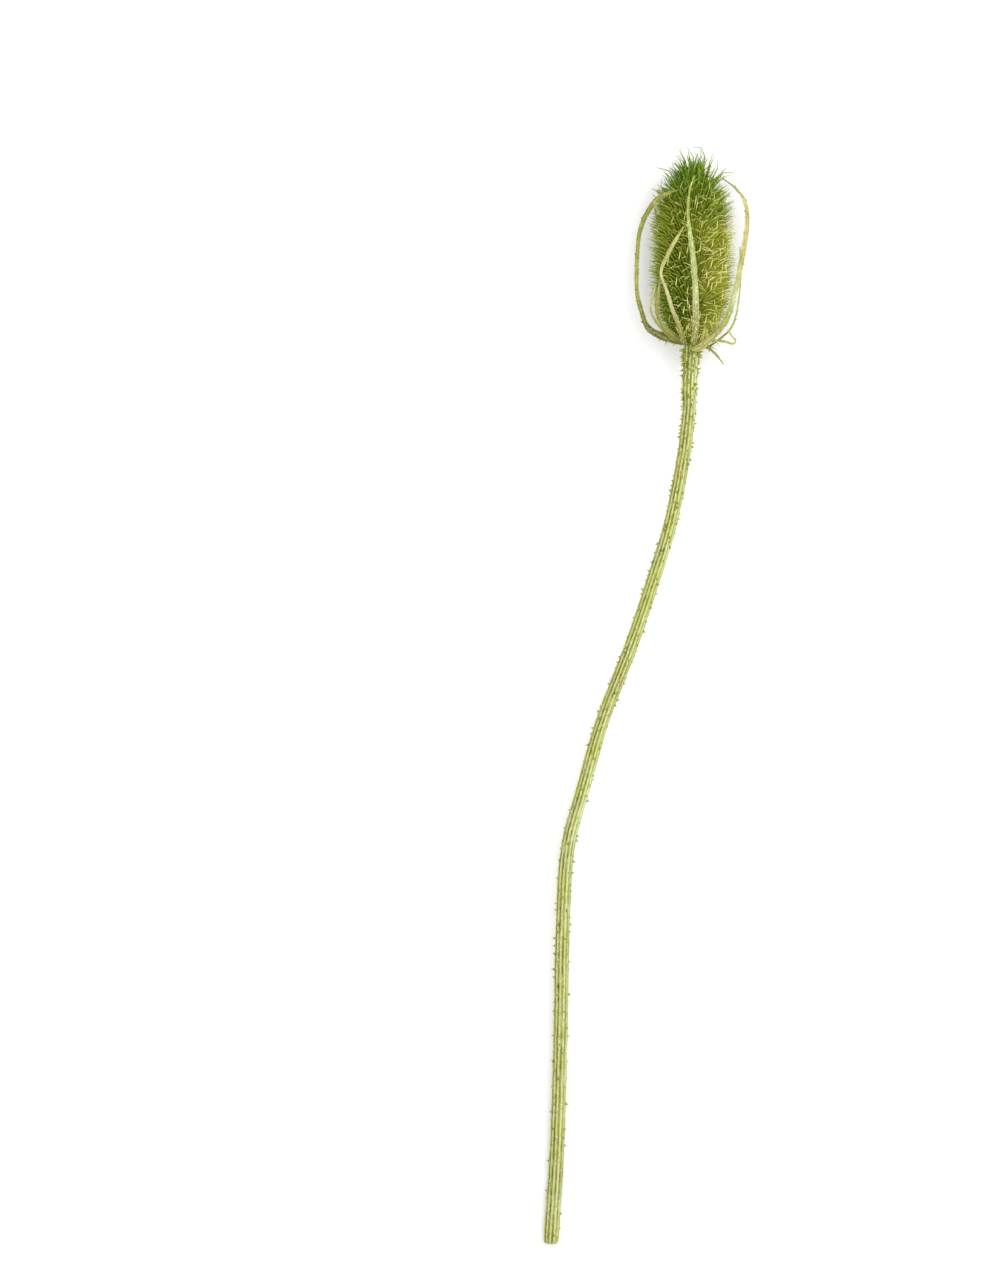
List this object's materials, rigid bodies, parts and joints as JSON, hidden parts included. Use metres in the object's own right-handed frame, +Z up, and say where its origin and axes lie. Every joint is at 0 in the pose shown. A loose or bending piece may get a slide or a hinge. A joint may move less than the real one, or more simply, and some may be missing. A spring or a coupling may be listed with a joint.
{
  "type": "dried teasel head",
  "caption": "Dried, green dyed teasel head on a ribbed prickly cut stem, closely covered with stiff bristles and caged in thin curving bracts.",
  "frame": {"origin": "centre of the bounding box, on the surface that the teasel lies on", "axes": "+Y along the head from the stem to the tip, +Z up from the surface, +X to the right as seen from above with the tip pointing away"},
  "size_m": [0.0832, 0.4403, 0.0385],
  "materials": {
    "head": "dry, dyed olive green with pale tips",
    "stem": "dry, straw coloured ribs with olive grooves and a green tint",
    "bract": "dry, papery, pale yellow green"
  },
  "bodies": {
    "root": {"head": "head", "stem": "stem", "bract_left_outer": "bract", "bract_front_kinked": "bract", "bract_left_inner": "bract", "bract_left_thin": "bract", "bract_front_centre": "bract", "bract_front_small": "bract", "bract_right_outer": "bract", "bract_right_rear": "bract", "bract_right_folded": "bract", "bract_lower_spike": "bract", "bract_under_left": "bract", "bract_under_right": "bract", "bract_under_short": "bract"}
  },
  "joints": []
}
